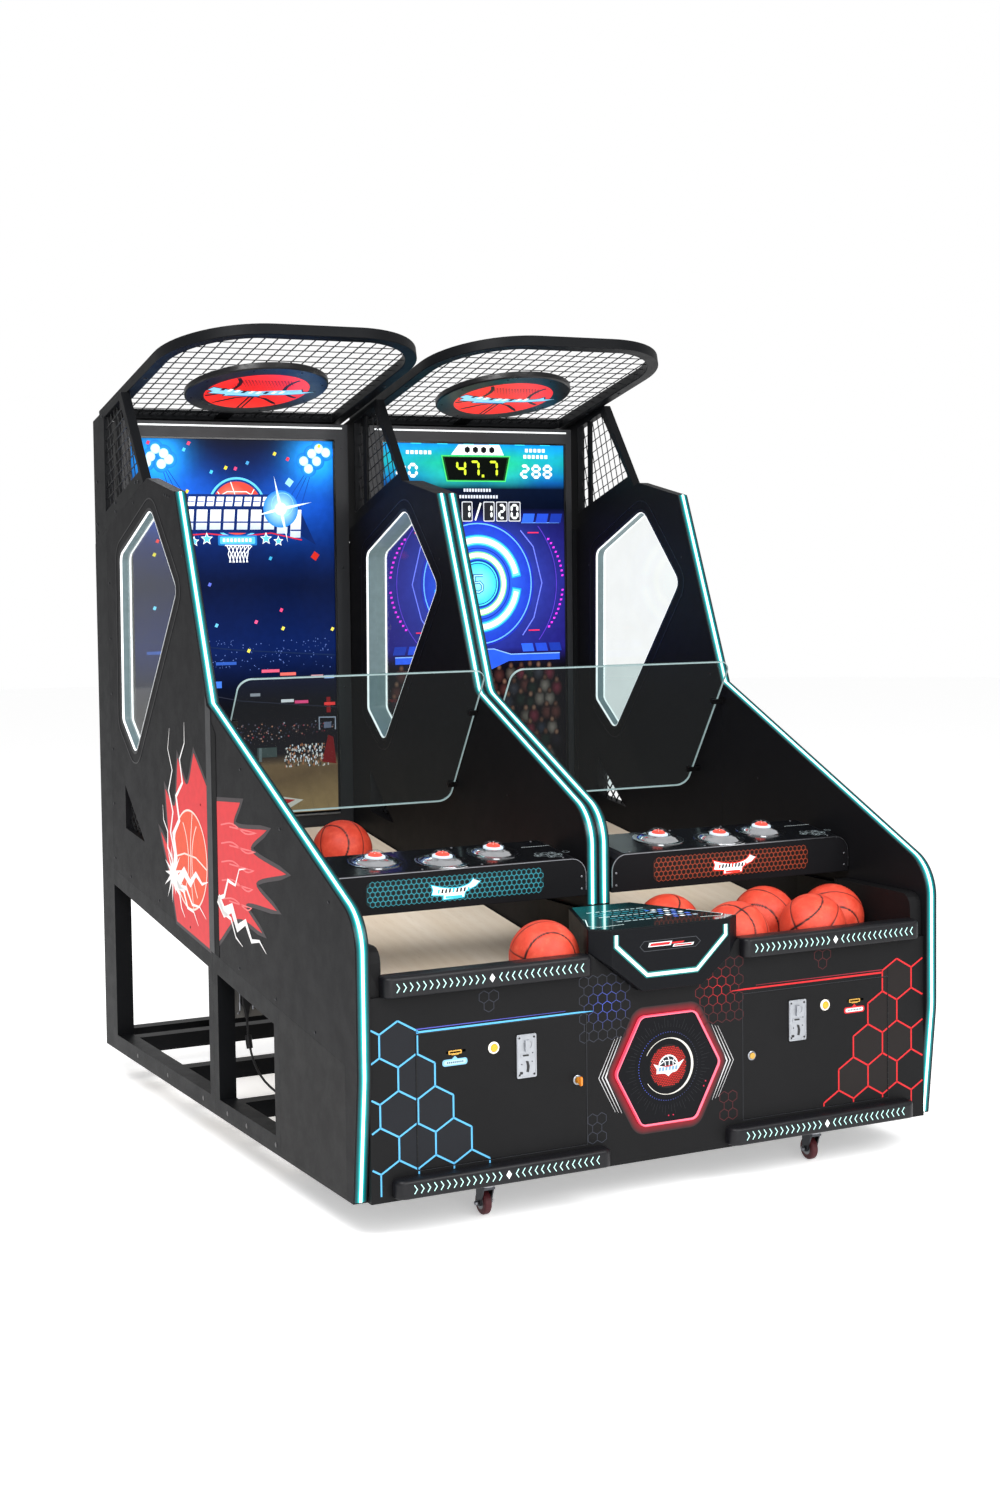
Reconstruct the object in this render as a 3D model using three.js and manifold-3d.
// Two-player basketball arcade machine: two linked shooting bays with upright target
// screens, sloping ball ramps, control boxes, a shared console and a front cabinet.
// Millimetres, +Z up, player side towards -Y. The finished group has its origin on the
// floor under the centre of its bounding box.
import * as THREE from "three";
import { mergeVertices } from "three/addons/utils/BufferGeometryUtils.js";
import Module from "manifold-3d";

const wasm = await Module();
wasm.setup();

// ---- Driving dimensions ------------------------------------------------------------
const GAP = 0.3;              // clearance kept between touching pieces
const HALF_WIDTH = 1050;      // outer faces of the side panels
const PANEL = 44;             // thickness of a side panel
const REAR = 2450;            // rear face; the front fascia stands at y = 0
const NOSE = -45;             // front of the foot ledges, the foremost point
const UNDERSIDE = 110;        // bottom edge of the cabinet above the floor
const SEAM = 1200;            // joint between the front and the rear module
const BAY_CENTRE = 525;
const INNER = HALF_WIDTH - PANEL;

const LEG_BACK = 75;          // rear edge of the side panel's front leg
const DIAGONAL_FRONT = 510;   // height of the panels' lower edge at LEG_BACK
const DIAGONAL_SLOPE = 0.1385;
const TUBE = 60;              // square frame tube
const POST_WIDTH = 65;
const HOUSING_FRONT = 2302;   // front face of the display housings

const KNEE = [1206, 1506];    // where the side panel's slope turns up
const SHOULDER = [1500, 2227];
const APEX = [1797, 2288];
const RAIL_SLOPE = 0.3445;    // fall of the panels' top edge behind the apex
const PANEL_SLOPE = 0.4657;   // rise of the panels' front edge up to the knee

const CANOPY_REAR = 2445;
const CANOPY_HEIGHT = 2555;   // mid-plane of the canopy at its rear edge
const CANOPY_TILT = Math.atan(0.2366);
const CANOPY_LENGTH = 1043;
const CANOPY_HALF = 500;
const CANOPY_RAIL = 45;
const CANOPY_DEPTH = 40;
const LATTICE_PITCH = 150;
const WIRE = 6;

const FLOOR_TOP = 642;        // level part of the ball tray
const RAMP_SLOPE = 0.15;
const RAMP_START = 420;       // where the ramp leaves the level tray
const RAMP_END = 2290;
const RAMP_BOARD = 18;
const CHEEK = 960;            // inner face of the outer tray cheeks
const LINING = 60;            // half width of the divider between the two trays

const BOX_FRONT = 405;        // control box
const BOX_BACK = 655;
const BOX_BOTTOM = 882;
const BOX_TOP = 1007;
const BOX_SLOPE = 0.126;
const BOX_WALL = 15;
const BUTTON_REACH = 210;     // outer buttons from the bay centre
const BUTTON_RADIUS = 36;
const BEZEL_RADIUS = 66;

const BALL_RADIUS = 110;      // size 5 ball
const DOOR = { inner: 286, outer: 856, low: 191, high: 592, board: 18, gap: 2 };
const WHEEL_RADIUS = 37.5;
const CASTER = { x: 600, y: 62, trail: 22 };

// ---- Finishes ----------------------------------------------------------------------
const finish = (color, roughness, metalness = 0, opacity = 1) =>
  new THREE.MeshStandardMaterial({ color, roughness, metalness, opacity, transparent: opacity < 1 });
const panelBlack = finish(0x1d1c1e, 0.45);
const frameBlack = finish(0x16171a, 0.5, 0.3);
const meshBlack = finish(0x1a1b1d, 0.5, 0.4);
const clearAcrylic = finish(0xdfeef0, 0.05, 0, 0.3);
const screenGlass = finish(0x16245c, 0.12);
const maple = finish(0xc9b79f, 0.5);
const ledgeGrey = finish(0x2b2b2e, 0.5);
const signBlack = finish(0x141416, 0.35);
const cableBlack = finish(0x101011, 0.55);
const domeRed = finish(0xc2413f, 0.15);
const coinSilver = finish(0xb9bcc0, 0.3, 0.9);
const lockBrass = finish(0xb08a45, 0.3, 0.9);
const buttonYellow = finish(0xf0a81e, 0.25);
const forkBlack = finish(0x202225, 0.4, 0.6);
const wheelMaroon = finish(0x3d1418, 0.55);
const ballOrange = finish(0xd8432c, 0.6);

// ---- Geometry helpers --------------------------------------------------------------
const X = new THREE.Vector3(1, 0, 0);
const Y = new THREE.Vector3(0, 1, 0);
const Z = new THREE.Vector3(0, 0, 1);
const alongX = new THREE.Matrix4().makeBasis(Y, Z, X);
const alongY = new THREE.Matrix4().makeBasis(X, Z, Y.clone().negate());

// Closed outline through corners [u, v] or [u, v, radius]; a radius rounds that corner.
function outline(corners, steps = 4) {
  const points = [];
  corners.forEach(([u, v, radius = 0], i) => {
    const here = new THREE.Vector2(u, v);
    if (radius === 0) {
      points.push(here);
      return;
    }
    const [pu, pv] = corners[(i + corners.length - 1) % corners.length];
    const [nu, nv] = corners[(i + 1) % corners.length];
    const back = new THREE.Vector2(pu - u, pv - v).normalize();
    const on = new THREE.Vector2(nu - u, nv - v).normalize();
    const half = Math.acos(THREE.MathUtils.clamp(back.dot(on), -1, 1)) / 2;
    const middle = back.clone().add(on).normalize();
    const centre = here.clone().addScaledVector(middle, radius / Math.sin(half));
    const from = here.clone().addScaledVector(back, radius / Math.tan(half)).sub(centre);
    const to = here.clone().addScaledVector(on, radius / Math.tan(half)).sub(centre);
    const turn = Math.atan2(from.cross(to), from.dot(to));
    for (let k = 0; k <= steps; k++) {
      points.push(from.clone().rotateAround(new THREE.Vector2(), (turn * k) / steps).add(centre));
    }
  });
  return new THREE.Shape(points);
}

function circle(u, v, radius, sides = 24) {
  const points = [];
  for (let k = 0; k < sides; k++) {
    const angle = (2 * Math.PI * k) / sides;
    points.push(new THREE.Vector2(u + radius * Math.cos(angle), v + radius * Math.sin(angle)));
  }
  return new THREE.Shape(points);
}

const extrude = (shape, depth) => new THREE.ExtrudeGeometry(shape, { depth, bevelEnabled: false });
// A (y, z) outline between x0 and x1, an (x, z) outline between y0 and y1, and so on.
const slabX = (shape, x0, x1) => extrude(shape, x1 - x0).applyMatrix4(alongX).translate(x0, 0, 0);
const slabY = (shape, y0, y1) => extrude(shape, y1 - y0).applyMatrix4(alongY).translate(0, y1, 0);
const slabZ = (shape, z0, z1) => extrude(shape, z1 - z0).translate(0, 0, z0);

function box(x0, x1, y0, y1, z0, z1) {
  const size = new THREE.BoxGeometry(Math.abs(x1 - x0), y1 - y0, z1 - z0);
  return size.translate((x0 + x1) / 2, (y0 + y1) / 2, (z0 + z1) / 2);
}

function solid(geometry) {
  const bare = geometry.index ? geometry.toNonIndexed() : geometry.clone();
  bare.deleteAttribute("normal");
  bare.deleteAttribute("uv");
  const merged = mergeVertices(bare, 1e-3);
  return new wasm.Manifold(new wasm.Mesh({
    numProp: 3,
    vertProperties: new Float32Array(merged.attributes.position.array),
    triVerts: new Uint32Array(merged.index.array),
  }));
}

function surface(manifold) {
  const mesh = manifold.getMesh();
  const geometry = new THREE.BufferGeometry();
  geometry.setAttribute("position", new THREE.BufferAttribute(mesh.vertProperties, 3));
  geometry.setIndex(new THREE.BufferAttribute(mesh.triVerts, 1));
  return geometry;
}

const join = (...pieces) => pieces.map(solid).reduce((whole, piece) => whole.add(piece));
const cut = (whole, ...pieces) => pieces.map(solid).reduce((rest, piece) => rest.subtract(piece), whole);

const machine = new THREE.Group();

function place(name, geometry, material, parent = machine) {
  const mesh = new THREE.Mesh(geometry, material);
  mesh.name = name;
  parent.add(mesh);
  return mesh;
}

const SIDES = [["left", -1], ["right", 1]];
const span = (side, near, far) => (side < 0 ? [-far, -near] : [near, far]);
const diagonal = (y) => DIAGONAL_FRONT + DIAGONAL_SLOPE * (y - LEG_BACK);
const rail = (y) => APEX[1] - RAIL_SLOPE * (y - APEX[0]);
const rampTop = (y) => FLOOR_TOP + RAMP_SLOPE * Math.max(0, y - RAMP_START);

// ---- Side panels, centre wall and windows ------------------------------------------
const WINDOW = [
  [1765, 2181, 60],
  [1491, 1888, 40],
  [1998, 1275, 40],
  [2154, 1397, 30],
  [2141, 2017, 40],
];
const VENT = [[2134, 1153], [1913, 963], [2137, 990]];

function windowPane(inset) {
  const middle = [1870, 1790];
  return WINDOW.map(([y, z, radius]) => {
    const reach = Math.hypot(y - middle[0], z - middle[1]);
    const keep = 1 - inset / reach;
    return [middle[0] + (y - middle[0]) * keep, middle[1] + (z - middle[1]) * keep, radius];
  });
}

const frontModule = outline([
  [30, UNDERSIDE],
  [LEG_BACK, UNDERSIDE],
  [LEG_BACK, diagonal(LEG_BACK)],
  [SEAM - GAP, diagonal(SEAM)],
  [SEAM - GAP, KNEE[1] - PANEL_SLOPE * (KNEE[0] - SEAM)],
  [-12, KNEE[1] - PANEL_SLOPE * (KNEE[0] + 12), 150],
  [-12, 480, 400],
], 12);
const rearModule = outline([
  [SEAM + GAP, diagonal(SEAM)],
  [HOUSING_FRONT - GAP, diagonal(HOUSING_FRONT)],
  [HOUSING_FRONT - GAP, rail(HOUSING_FRONT)],
  [...APEX, 20],
  [...SHOULDER, 20],
  [...KNEE],
  [SEAM + GAP, KNEE[1] - PANEL_SLOPE * (KNEE[0] - SEAM)],
]);
const wallFront = BOX_FRONT + 7;
const centreProfile = outline([
  [wallFront, diagonal(wallFront)],
  [HOUSING_FRONT - GAP, diagonal(HOUSING_FRONT)],
  [HOUSING_FRONT - GAP, rail(HOUSING_FRONT)],
  [...APEX, 20],
  [...SHOULDER, 20],
  [...KNEE, 60],
  [wallFront, KNEE[1] - PANEL_SLOPE * (KNEE[0] - wallFront), 150],
], 10);

for (const [name, side] of SIDES) {
  const [x0, x1] = span(side, INNER, HALF_WIDTH);
  place(`${name}_side_panel_front`, slabX(frontModule, x0, x1), panelBlack);
  const windowHole = slabX(outline(WINDOW), x0 - 1, x1 + 1);
  const ventHole = slabX(outline(VENT), x0 - 1, x1 + 1);
  const rearPanel = cut(solid(slabX(rearModule, x0, x1)), windowHole, ventHole);
  place(`${name}_side_panel_rear`, surface(rearPanel), panelBlack);
  const middle = side * (HALF_WIDTH - PANEL / 2);
  place(`${name}_window`, slabX(outline(windowPane(1)), middle - 3, middle + 3), clearAcrylic);
}
const centreHoles = [WINDOW, VENT].map((hole) => slabX(outline(hole), -PANEL - 1, PANEL + 1));
const centreWall = cut(solid(slabX(centreProfile, -PANEL, PANEL)), ...centreHoles);
place("centre_wall", surface(centreWall), panelBlack);
place("centre_window", slabX(outline(windowPane(1)), -3, 3), clearAcrylic);

// ---- Wire guards above the panels --------------------------------------------------
const GUARD = [
  [1841, rail(1841) + GAP],
  [REAR, rail(REAR) + GAP],
  [REAR, CANOPY_HEIGHT - 22],
  [2085, CANOPY_HEIGHT - 22 + 0.2366 * (REAR - 2085)],
];

function guard(x0, x1) {
  const mid = (x0 + x1) / 2;
  const low = [1790, 2000];
  const high = [2500, 2700];
  const inner = GUARD.map(([y, z]) => [y + (2250 - y) * 0.16, z + (2370 - z) * 0.16]);
  const frame = cut(solid(slabX(outline(GUARD), x0, x1)), slabX(outline(inner), x0 - 1, x1 + 1));
  const wires = [];
  // Upright and level wires lie side by side, each welded to the rails at its ends.
  for (let y = low[0]; y < high[0]; y += LATTICE_PITCH) {
    wires.push(box(mid - WIRE, mid - GAP, y, y + WIRE, low[1], high[1]));
  }
  for (let z = low[1]; z < high[1]; z += LATTICE_PITCH) {
    wires.push(box(mid + GAP, mid + WIRE, low[0], high[0], z, z + WIRE));
  }
  const field = solid(slabX(outline(GUARD), mid - 2 * WIRE, mid + 2 * WIRE));
  return surface(frame.add(join(...wires).intersect(field)));
}

for (const [name, side] of SIDES) {
  place(`${name}_side_guard`, guard(...span(side, HALF_WIDTH - 35, HALF_WIDTH)), meshBlack);
}
place("centre_guard", guard(-17, 17), meshBlack);

// ---- Canopies and their round signs ------------------------------------------------
// Canopy frame: u across the bay, v forwards and up from the rear edge, w downwards.
function canopyGroup(side) {
  const group = new THREE.Group();
  group.position.set(side * BAY_CENTRE, CANOPY_REAR, CANOPY_HEIGHT);
  const forwards = new THREE.Vector3(0, -Math.cos(CANOPY_TILT), Math.sin(CANOPY_TILT));
  const downwards = new THREE.Vector3().crossVectors(X, forwards);
  group.setRotationFromMatrix(new THREE.Matrix4().makeBasis(X, forwards, downwards));
  machine.add(group);
  return group;
}

function canopyOutline(inset) {
  const half = CANOPY_HALF - inset;
  const radius = 340 - inset;
  const front = CANOPY_LENGTH - inset;
  return outline([[-half, inset], [half, inset], [half, front, radius], [-half, front, radius]], 10);
}

function canopy() {
  const deep = CANOPY_DEPTH / 2;
  const plate = solid(slabZ(canopyOutline(0), -deep, deep));
  const ring = cut(plate, slabZ(canopyOutline(CANOPY_RAIL), -deep - 1, deep + 1));
  const wires = [];
  for (let u = -CANOPY_HALF + LATTICE_PITCH / 3; u < CANOPY_HALF; u += LATTICE_PITCH) {
    wires.push(box(u, u + WIRE, 1, CANOPY_LENGTH - 1, -WIRE, -GAP));
  }
  for (let v = LATTICE_PITCH; v < CANOPY_LENGTH; v += LATTICE_PITCH) {
    wires.push(box(1 - CANOPY_HALF, CANOPY_HALF - 1, v, v + WIRE, GAP, WIRE));
  }
  const field = solid(slabZ(canopyOutline(2), -2 * WIRE, 2 * WIRE));
  return surface(ring.add(join(...wires).intersect(field)));
}

const SIGN = { u: -20, v: 447, radius: 272, board: 26 };
for (const [name, side] of SIDES) {
  const group = canopyGroup(side);
  place(`${name}_canopy`, canopy(), meshBlack, group);
  const disc = slabZ(circle(SIGN.u, SIGN.v, SIGN.radius, 36), 0, SIGN.board);
  place(`${name}_canopy_sign`, disc.translate(0, 0, WIRE + GAP), signBlack, group);
}

// ---- Display housings and screens --------------------------------------------------
const HOUSING = { inner: PANEL + 1, outer: 984, low: 926, high: 2533, wall: 18 };
const SCREEN = { inner: 110, outer: 948, low: 985, high: 2465, front: 2308, depth: 27 };

for (const [name, side] of SIDES) {
  const [x0, x1] = span(side, HOUSING.inner, HOUSING.outer);
  const { low, high, wall } = HOUSING;
  const [s0, s1] = span(side, SCREEN.inner, SCREEN.outer);
  const shell = cut(
    solid(box(x0, x1, HOUSING_FRONT, REAR, low, high)),
    box(x0 + wall, x1 - wall, HOUSING_FRONT + wall, REAR - wall, low + wall, high - wall),
    box(s0 - 1, s1 + 1, HOUSING_FRONT - 1, REAR - wall, SCREEN.low - 1, SCREEN.high + 1),
  );
  place(`${name}_display_housing`, surface(shell), panelBlack);
  const glass = box(s0, s1, SCREEN.front, SCREEN.front + SCREEN.depth, SCREEN.low, SCREEN.high);
  place(`${name}_screen`, glass, screenGlass);
}

// ---- Ball ramps --------------------------------------------------------------------
const TRAY_FRONT = 45;
const LINING_BACK = 700;
const rampProfile = outline([
  [TRAY_FRONT, FLOOR_TOP],
  [TRAY_FRONT, FLOOR_TOP - RAMP_BOARD],
  [RAMP_START, FLOOR_TOP - RAMP_BOARD],
  [RAMP_END, rampTop(RAMP_END) - RAMP_BOARD],
  [RAMP_END, rampTop(RAMP_END)],
  [RAMP_START, FLOOR_TOP],
]);
for (const [name, side] of SIDES) {
  const board = solid(slabX(rampProfile, ...span(side, 0, HALF_WIDTH)));
  const plan = outline([
    [side * (LINING + 2), TRAY_FRONT],
    [side * (CHEEK - 2), TRAY_FRONT],
    [side * (CHEEK - 2), 432],
    [side * 988, 432],
    [side * 988, LINING_BACK + 2],
    [side * (INNER - 4), LINING_BACK + 2],
    [side * (INNER - 4), RAMP_END],
    [side * (PANEL + 6), RAMP_END],
    [side * (PANEL + 6), LINING_BACK + 2],
    [side * (LINING + 2), LINING_BACK + 2],
  ]);
  place(`${name}_ramp`, surface(board.intersect(solid(slabZ(plan, 500, 1200)))), maple);
}

// ---- Control boxes and dome buttons ------------------------------------------------
// The boxes follow the ramp's rise, so their cross-section is sheared along y.
const rise = new THREE.Matrix4().set(
  1, 0, 0, 0,
  0, 1, 0, 0,
  0, BOX_SLOPE, 1, -BOX_SLOPE * BOX_FRONT,
  0, 0, 0, 1,
);
const BUTTONS = [[-BUTTON_REACH, 548], [0, 494], [BUTTON_REACH, 548]];
const boxTilt = Math.atan(BOX_SLOPE);

function boxSection(side, inset) {
  const near = PANEL + 3 + inset;
  const far = INNER - 3 - inset;
  const low = BOX_BOTTOM + inset;
  const high = BOX_TOP - inset;
  const corner = 55 - inset;
  const [x0, x1] = [side * near, side * far];
  return outline([[x0, low], [x1, low], [x1, high, corner], [x0, high, corner]]);
}

// A lathe round the button's axis, moved to its place on the sloping top.
function turned(profile, x, y, sides = 16) {
  const points = profile.map(([radius, height]) => new THREE.Vector2(radius, height));
  const lathe = new THREE.LatheGeometry(points, sides).rotateX(Math.PI / 2);
  return lathe.rotateX(boxTilt).translate(x, y, BOX_TOP + BOX_SLOPE * (y - BOX_FRONT));
}

const boreProfile = [[0, -40], [BUTTON_RADIUS + 1, -40], [BUTTON_RADIUS + 1, 40], [0, 40]];
const bezelProfile = [[0, -5], [BEZEL_RADIUS, -5], [BEZEL_RADIUS, 5], [BUTTON_RADIUS + 6, 17], [0, 17]];
const domeProfile = [[0, -32], [BUTTON_RADIUS, -32], [BUTTON_RADIUS, 18], [25, 33], [0, 40]];

for (const [name, side] of SIDES) {
  const whole = solid(slabY(boxSection(side, 0), BOX_FRONT, BOX_BACK).applyMatrix4(rise));
  const hollow = slabY(boxSection(side, BOX_WALL), BOX_FRONT + BOX_WALL, BOX_BACK + 1);
  let casing = cut(whole, hollow.applyMatrix4(rise));
  const at = BUTTONS.map(([reach, y]) => [side * BAY_CENTRE + reach, y]);
  casing = at.reduce((rest, [x, y]) => rest.add(solid(turned(bezelProfile, x, y))), casing);
  casing = cut(casing, ...at.map(([x, y]) => turned(boreProfile, x, y)));
  place(`${name}_control_box`, surface(casing), panelBlack);
  ["left", "middle", "right"].forEach((seat, i) => {
    place(`${name}_bay_${seat}_button`, turned(domeProfile, ...at[i]), domeRed);
  });
}

// ---- Front cabinet -----------------------------------------------------------------
const LEDGE = { inner: 275, outer: 968, low: 713, high: 775, front: -35, back: 38 };
const FOOT = { inner: 218, outer: 940, low: 122, high: 178 };
const CONSOLE = { half: 271, top: 846, edge: 775, keel: 107, bottom: 648, front: -38, back: 404 };
const CABINET_BACK = 600;
const CHEEK_TOP = 855;
const FASCIA = 18;
const FASCIA_TOP = LEDGE.low - GAP;

// Half width of the console's front view at height z, where its keel narrows.
function keelWidth(z) {
  const share = (z - CONSOLE.bottom) / (CONSOLE.edge - CONSOLE.bottom);
  return CONSOLE.keel + share * (CONSOLE.half - CONSOLE.keel);
}

function fasciaBoard() {
  const edge = INNER - GAP;
  const notch = 1;
  const crown = CONSOLE.edge - 1;
  const board = outline([
    [-edge, UNDERSIDE],
    [edge, UNDERSIDE],
    [edge, FASCIA_TOP],
    [LEDGE.inner - GAP, FASCIA_TOP],
    [LEDGE.inner - GAP, crown],
    [keelWidth(crown) + notch, crown],
    [CONSOLE.keel + notch, CONSOLE.bottom - notch],
    [-CONSOLE.keel - notch, CONSOLE.bottom - notch],
    [-keelWidth(crown) - notch, crown],
    [GAP - LEDGE.inner, crown],
    [GAP - LEDGE.inner, FASCIA_TOP],
    [-edge, FASCIA_TOP],
  ]);
  const doorways = SIDES.map(([, side]) => {
    const [x0, x1] = span(side, DOOR.inner - DOOR.gap, DOOR.outer + DOOR.gap);
    return box(x0, x1, -1, FASCIA + 1, DOOR.low - DOOR.gap, DOOR.high + DOOR.gap);
  });
  return cut(solid(slabY(board, 0, FASCIA)), ...doorways);
}

function cabinetSide(side) {
  const [c0, c1] = span(side, CHEEK, INNER - GAP);
  const cheek = slabX(outline([[10, 600], [430, 600], [430, CHEEK_TOP], [14, CHEEK_TOP, 45]]), c0, c1);
  const [w0, w1] = span(side, HALF_WIDTH - FASCIA, HALF_WIDTH);
  const low = LEG_BACK + GAP;
  const wall = slabX(
    outline([
      [low, UNDERSIDE],
      [CABINET_BACK, UNDERSIDE],
      [CABINET_BACK, diagonal(CABINET_BACK) - GAP],
      [low, diagonal(low) - GAP],
    ]),
    w0,
    w1,
  );
  const outerLining = box(...span(side, 990, INNER - GAP), 420, 690, 640, 836);
  const innerLining = box(...span(side, PANEL + GAP, LINING), BOX_FRONT, LINING_BACK, 600, 836);
  const plate = slabZ(circle(side * CASTER.x, CASTER.y, 34, 16), UNDERSIDE - 6, UNDERSIDE + 6);
  return join(cheek, outerLining).add(join(wall, plate)).add(solid(innerLining));
}

function frontCabinet() {
  const floor = [
    box(GAP - INNER, INNER - GAP, FASCIA - 1, CABINET_BACK, UNDERSIDE, UNDERSIDE + FASCIA),
    box(-HALF_WIDTH + 1, HALF_WIDTH - 1, LEG_BACK + GAP, CABINET_BACK, UNDERSIDE, UNDERSIDE + FASCIA),
    box(-HALF_WIDTH + 1, HALF_WIDTH - 1, CABINET_BACK - FASCIA, CABINET_BACK, UNDERSIDE, 560),
    box(-9, 9, FASCIA - 1, CABINET_BACK, UNDERSIDE, 540),
    box(-LINING, LINING, FASCIA - 1, wallFront - GAP, 520, CONSOLE.bottom - GAP),
  ];
  const sides = SIDES.map(([, side]) => cabinetSide(side)).reduce((a, b) => a.add(b));
  const body = fasciaBoard().add(join(...floor)).add(sides);
  return surface(body);
}
place("front_cabinet", frontCabinet(), panelBlack);

for (const [name, side] of SIDES) {
  const ledge = outline([
    [side * LEDGE.inner, -GAP],
    [side * LEDGE.inner, LEDGE.front, 12],
    [side * LEDGE.outer, LEDGE.front, 12],
    [side * LEDGE.outer, -GAP],
    [side * (CHEEK - 2), -GAP],
    [side * (CHEEK - 2), LEDGE.back],
    [side * LEDGE.inner, LEDGE.back],
  ]);
  place(`${name}_tray_ledge`, slabZ(ledge, LEDGE.low, LEDGE.high), ledgeGrey);
  const foot = outline([
    [side * FOOT.inner, -GAP],
    [side * FOOT.inner, NOSE, 10],
    [side * FOOT.outer, NOSE, 10],
    [side * FOOT.outer, -GAP],
  ]);
  place(`${name}_foot_ledge`, slabZ(foot, FOOT.low, FOOT.high), ledgeGrey);
}

function consoleBody() {
  const { half, top, edge, keel, bottom, front, back } = CONSOLE;
  const section = outline([
    [-half, top],
    [half, top],
    [half, edge],
    [keel, bottom],
    [-keel, bottom],
    [-half, edge],
  ]);
  const nose = 212;
  const tail = 116;
  const plan = outline([
    [-nose, front],
    [nose, front],
    [half, 10],
    [tail, back],
    [-tail, back],
    [-half, 10],
  ]);
  const block = solid(slabY(section, front, back));
  return surface(block.intersect(solid(slabZ(plan, bottom - 1, top + 1))));
}
place("centre_console", consoleBody(), panelBlack);

// ---- Clear shields across the bays -------------------------------------------------
const SHIELD = { near: PANEL + 8, far: 976, top: [1090, 1590], bottom: [1405, 1100], sheet: 8 };
for (const [name, side] of SIDES) {
  const { top, bottom } = SHIELD;
  const down = new THREE.Vector3(0, bottom[0] - top[0], bottom[1] - top[1]);
  const drop = down.length();
  const group = new THREE.Group();
  group.position.set(0, ...top);
  down.normalize();
  const through = new THREE.Vector3().crossVectors(X, down);
  group.setRotationFromMatrix(new THREE.Matrix4().makeBasis(X, down, through));
  machine.add(group);
  const [x0, x1] = span(side, SHIELD.near, SHIELD.far);
  const sheet = outline([[x0, 0, 45], [x1, 0, 45], [x1, drop, 45], [x0, drop, 45]]);
  place(`${name}_shield`, slabZ(sheet, 0, SHIELD.sheet), clearAcrylic, group);
}

// ---- Welded frames -----------------------------------------------------------------
// A tube under the panels' lower edge between y0 and y1.
function slantTube(x0, x1, y0, y1) {
  const top = (y) => diagonal(y) - GAP;
  const under = (y) => top(y) - TUBE - 2;
  return slabX(outline([[y0, under(y0)], [y1, under(y1)], [y1, top(y1)], [y0, top(y0)]]), x0, x1);
}

const TUBE_INNER = HALF_WIDTH - TUBE;
const crossTube = (y, z, wide = TUBE) =>
  box(-HALF_WIDTH + 1, HALF_WIDTH - 1, y, y + wide, z, z + TUBE);
const FOOT_PAD = { x: 630, y: 2350, radius: 26 };

function frameRear() {
  const start = SEAM + GAP;
  const pieces = [
    crossTube(REAR - TUBE - 1, UNDERSIDE),
    crossTube(2215, UNDERSIDE),
    crossTube(1650, UNDERSIDE),
    crossTube(REAR - TUBE - 1, diagonal(REAR) - 70),
    crossTube(start, 560, 40),
    box(-TUBE / 2, TUBE / 2, start, REAR - 2, UNDERSIDE + 2, UNDERSIDE + TUBE - 2),
    slantTube(-TUBE / 2, TUBE / 2, start, REAR - 1),
    box(-PANEL + 4, PANEL - 4, HOUSING_FRONT + GAP, REAR, UNDERSIDE + 3, rail(REAR) - 3),
  ];
  for (const [, side] of SIDES) {
    const [x0, x1] = span(side, TUBE_INNER, HALF_WIDTH);
    const post = outline([
      [HOUSING_FRONT, UNDERSIDE],
      [REAR, UNDERSIDE],
      [REAR, rail(REAR) - GAP],
      [HOUSING_FRONT, rail(HOUSING_FRONT) - GAP],
    ]);
    pieces.push(slabX(post, ...span(side, HALF_WIDTH - POST_WIDTH, HALF_WIDTH)));
    pieces.push(box(x0, x1, start, HOUSING_FRONT + 1, UNDERSIDE, UNDERSIDE + TUBE));
    pieces.push(slantTube(x0, x1, start, HOUSING_FRONT + 1));
    pieces.push(box(x0, x1, start, start + 45, UNDERSIDE + 1, diagonal(start) - 10));
    pieces.push(slabZ(circle(side * FOOT_PAD.x, FOOT_PAD.y, 9, 12), 5, UNDERSIDE + 20));
    const padX = side * FOOT_PAD.x;
    pieces.push(box(padX - 30, padX + 30, 2270, 2400, UNDERSIDE + 2, UNDERSIDE + 20));
    pieces.push(slabZ(circle(side * FOOT_PAD.x, FOOT_PAD.y, FOOT_PAD.radius, 16), 0, 12));
  }
  return surface(join(...pieces));
}

const PLUG = { x: -950, y: 1150, top: 545 };

function frameFront() {
  const end = SEAM - GAP;
  const start = CABINET_BACK + GAP;
  const pieces = [
    crossTube(start, UNDERSIDE),
    crossTube(1075, UNDERSIDE),
    crossTube(700, UNDERSIDE),
    crossTube(end - 41, 555, 40),
    box(-TUBE / 2, TUBE / 2, start, end, UNDERSIDE + 2, UNDERSIDE + TUBE - 2),
    slantTube(-TUBE / 2, TUBE / 2, start, end),
    box(-TUBE / 2, TUBE / 2, start, start + 40, UNDERSIDE + 1, diagonal(start) - 10),
    // Bracket that holds the socket of the signal cable.
    box(PLUG.x - 45, PLUG.x + 25, PLUG.y - 25, end - 20, PLUG.top + 15, PLUG.top + 21),
  ];
  for (const [, side] of SIDES) {
    const [x0, x1] = span(side, TUBE_INNER, HALF_WIDTH);
    pieces.push(box(x0, x1, start, end, UNDERSIDE, UNDERSIDE + TUBE));
    pieces.push(slantTube(x0, x1, start, end));
    pieces.push(box(x0, x1, end - 45, end, UNDERSIDE + 1, diagonal(end) - 10));
    pieces.push(box(x0, x1, start, start + 40, UNDERSIDE + 1, diagonal(start) - 10));
  }
  const socket = box(PLUG.x - 18, PLUG.x + 18, PLUG.y - 9, PLUG.y + 9, PLUG.top + 2, PLUG.top + 17);
  return surface(join(...pieces, socket));
}
place("frame_rear", frameRear(), frameBlack);
place("frame_front", frameFront(), frameBlack);

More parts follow.
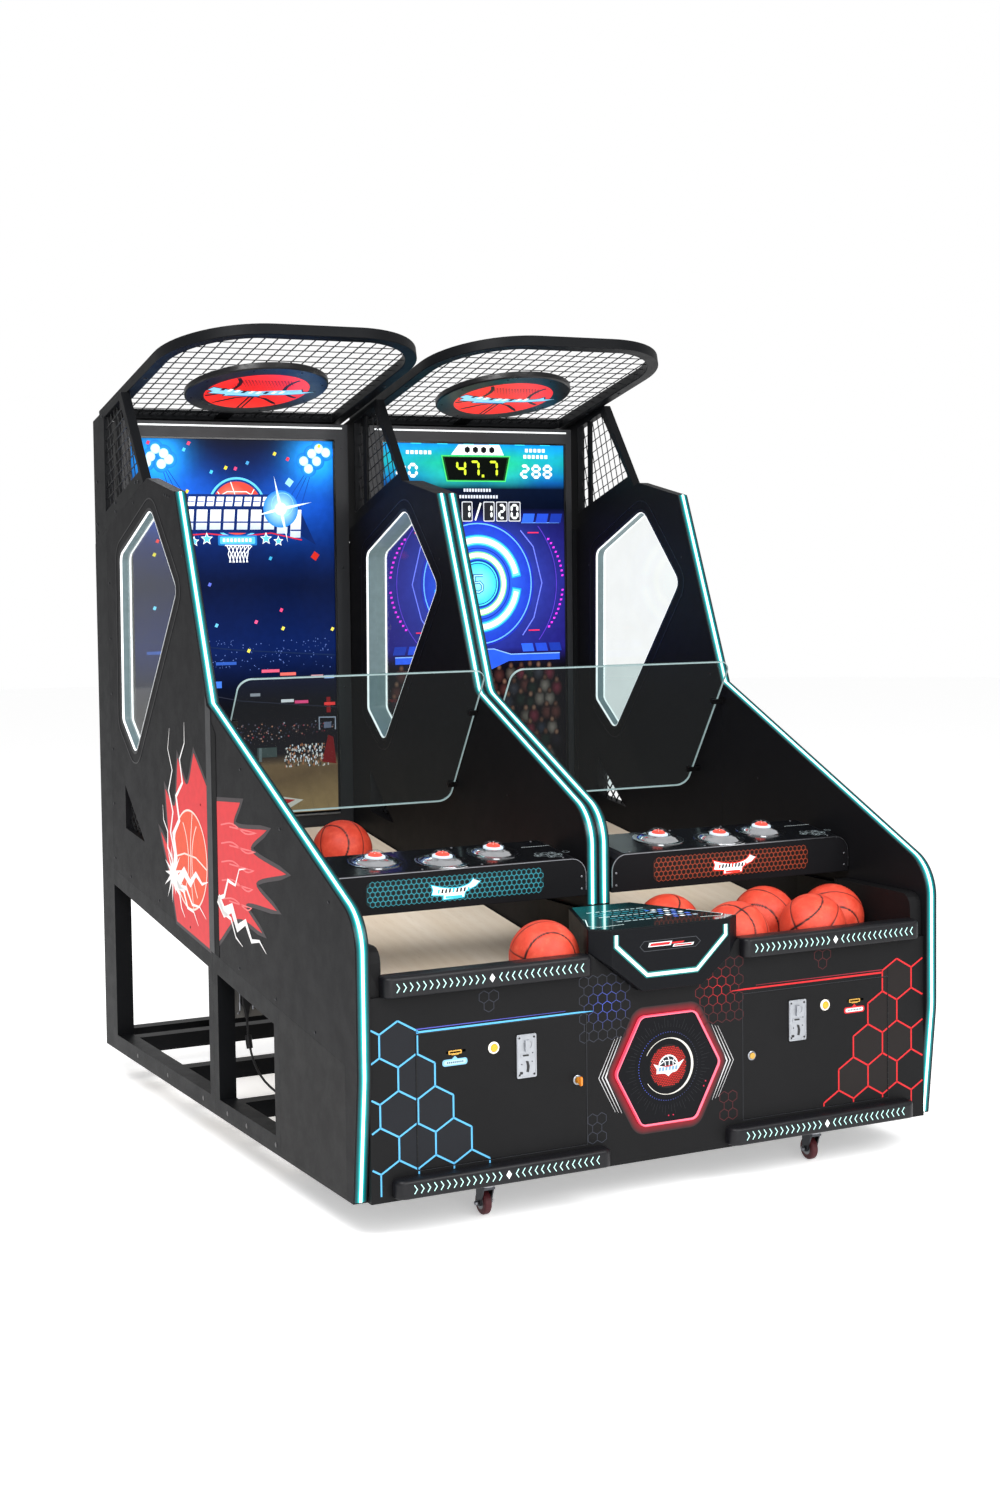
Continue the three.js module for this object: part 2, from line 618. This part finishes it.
// ---- Signal cable ------------------------------------------------------------------
// It hangs from the plug under the frame's slope and sags forward into the cabinet.
const CABLE_RADIUS = 4;
const CABLE_ROUTE = [
  [1150, 504], [1150, 480], [1149, 450], [1146, 418], [1140, 386], [1130, 356],
  [1114, 328], [1092, 304], [1064, 284], [1030, 268], [990, 256], [944, 248],
  [892, 243], [836, 241], [778, 242], [722, 245], [672, 249], [632, 252], [600.5, 253],
];
const cablePath = new THREE.CatmullRomCurve3(
  CABLE_ROUTE.map(([y, z]) => new THREE.Vector3(PLUG.x, y, z)), false, "centripetal",
);
const cableTube = new THREE.ExtrudeGeometry(circle(0, 0, CABLE_RADIUS, 8), {
  extrudePath: cablePath,
  steps: 32,
  bevelEnabled: false,
});
place("signal_cable", cableTube, cableBlack);
const plugBody = outline([
  [PLUG.x - 17, PLUG.top + 1], [PLUG.x - 17, PLUG.top - 22], [PLUG.x - 7, PLUG.top - 40],
  [PLUG.x + 7, PLUG.top - 40], [PLUG.x + 17, PLUG.top - 22], [PLUG.x + 17, PLUG.top + 1],
]);
place("signal_plug", slabY(plugBody, PLUG.y - 8, PLUG.y + 8), cableBlack);

// ---- Coin doors and what they carry ------------------------------------------------
const COIN = { x: 493.5, z: 488, halfWidth: 33.5, halfHeight: 66 };
const SERVICE = { x: 603, z: 525, radius: 12 };
const LOCK = { x: 318, z: 393, radius: 10 };
const TICKET = { x: 727, z: 528 };

for (const [name, side] of SIDES) {
  const [x0, x1] = span(side, DOOR.inner, DOOR.outer);
  const leaf = cut(
    solid(box(x0, x1, 0, DOOR.board, DOOR.low, DOOR.high)),
    box(side * COIN.x - 28, side * COIN.x + 28, -1, 20, COIN.z - 58, COIN.z + 58),
    slabY(circle(side * SERVICE.x, SERVICE.z, SERVICE.radius + GAP, 16), -1, 20),
    slabY(circle(side * LOCK.x, LOCK.z, LOCK.radius + GAP, 16), -1, 20),
    box(side * TICKET.x - 32, side * TICKET.x + 32, -1, 20, TICKET.z - 4, TICKET.z + 4),
  );
  place(`${name}_coin_door`, surface(leaf), panelBlack);

  const plate = slabY(outline([
    [side * COIN.x - COIN.halfWidth, COIN.z - COIN.halfHeight, 5],
    [side * COIN.x + COIN.halfWidth, COIN.z - COIN.halfHeight, 5],
    [side * COIN.x + COIN.halfWidth, COIN.z + COIN.halfHeight, 5],
    [side * COIN.x - COIN.halfWidth, COIN.z + COIN.halfHeight, 5],
  ]), -5, -GAP);
  const mech = box(side * COIN.x - 27, side * COIN.x + 27, -2, 72, COIN.z - 57, COIN.z + 57);
  const slotBoss = box(side * COIN.x - 7, side * COIN.x + 7, -11, -4, COIN.z + 14, COIN.z + 48);
  place(`${name}_coin_mech`, surface(join(plate, mech, slotBoss)), coinSilver);

  const cap = slabY(circle(side * SERVICE.x, SERVICE.z, SERVICE.radius, 16), -7, 34);
  place(`${name}_service_button`, cap, buttonYellow);

  const barrel = slabY(circle(side * LOCK.x, LOCK.z, LOCK.radius, 16), -6, 30);
  const cam = box(side * LOCK.x - 8, side * LOCK.x + 8, 26, 30, LOCK.z - 8, LOCK.z + 46);
  const key = box(side * LOCK.x - 1.2, side * LOCK.x + 1.2, -28, -5, LOCK.z - 11, LOCK.z + 11);
  const parts = side < 0 ? [barrel, cam, key] : [barrel, cam];
  place(`${name}_door_lock`, surface(join(...parts)), lockBrass);
}

// ---- Casters -----------------------------------------------------------------------
function wheelGeometry(x) {
  const half = [[5.4, 12], [33, 12], [WHEEL_RADIUS, 8]];
  const mirrored = half.map(([radius, height]) => [radius, -height]);
  const rim = [...mirrored, ...half.reverse(), mirrored[0]];
  const points = rim.map(([radius, height]) => new THREE.Vector2(radius, height));
  const wheel = new THREE.LatheGeometry(points, 24).rotateZ(Math.PI / 2);
  return wheel.translate(x, CASTER.y + CASTER.trail, WHEEL_RADIUS);
}

function forkGeometry(x) {
  const { y, trail } = CASTER;
  const crown = slabZ(circle(x, y, 24, 16), 88, UNDERSIDE - 7);
  const bridge = box(x - 19, x + 19, y - 20, y + trail + 14, 84, 90);
  const leg = outline([
    [y - 16, 90],
    [y + trail - 14, 28, 8],
    [y + trail + 12, 28, 8],
    [y + trail + 14, 90],
  ]);
  const axle = slabX(circle(y + trail, WHEEL_RADIUS, 5, 16), x - 20, x + 20);
  return surface(join(crown, bridge, slabX(leg, x - 19, x - 15), slabX(leg, x + 15, x + 19), axle));
}

for (const [name, side] of SIDES) {
  place(`${name}_caster_fork`, forkGeometry(side * CASTER.x), forkBlack);
  place(`${name}_caster_wheel`, wheelGeometry(side * CASTER.x), wheelMaroon);
}

// ---- Basketballs -------------------------------------------------------------------
// Hollow, with a valve hole that opens the inside.
const valve = new THREE.CylinderGeometry(3, 3, 30, 6).rotateX(Math.PI / 2).translate(0, 0, BALL_RADIUS);
const skin = solid(new THREE.IcosahedronGeometry(BALL_RADIUS, 3));
const bladder = new THREE.IcosahedronGeometry(BALL_RADIUS - 5, 1);
const ballShell = surface(cut(skin, bladder, valve));
const rampNormal = Math.hypot(1, RAMP_SLOPE);
const BALLS = {
  ball_left_tray: [-345, 152],
  ball_left_ramp: [-412, 1565],
  ball_right_1: [257, 395],
  ball_right_2: [362, 152],
  ball_right_3: [625, 372],
  ball_right_4: [668, 152],
  ball_right_5: [846, 291],
};
Object.entries(BALLS).forEach(([name, [x, y]], i) => {
  const ball = place(name, ballShell.clone(), ballOrange);
  const reach = y > RAMP_START ? BALL_RADIUS * rampNormal : BALL_RADIUS;
  ball.position.set(x, y, rampTop(y) + reach + GAP);
  ball.rotation.z = i;
});

machine.position.y = -(REAR + NOSE) / 2;
const scene = new THREE.Group();
scene.add(machine);
export default scene;
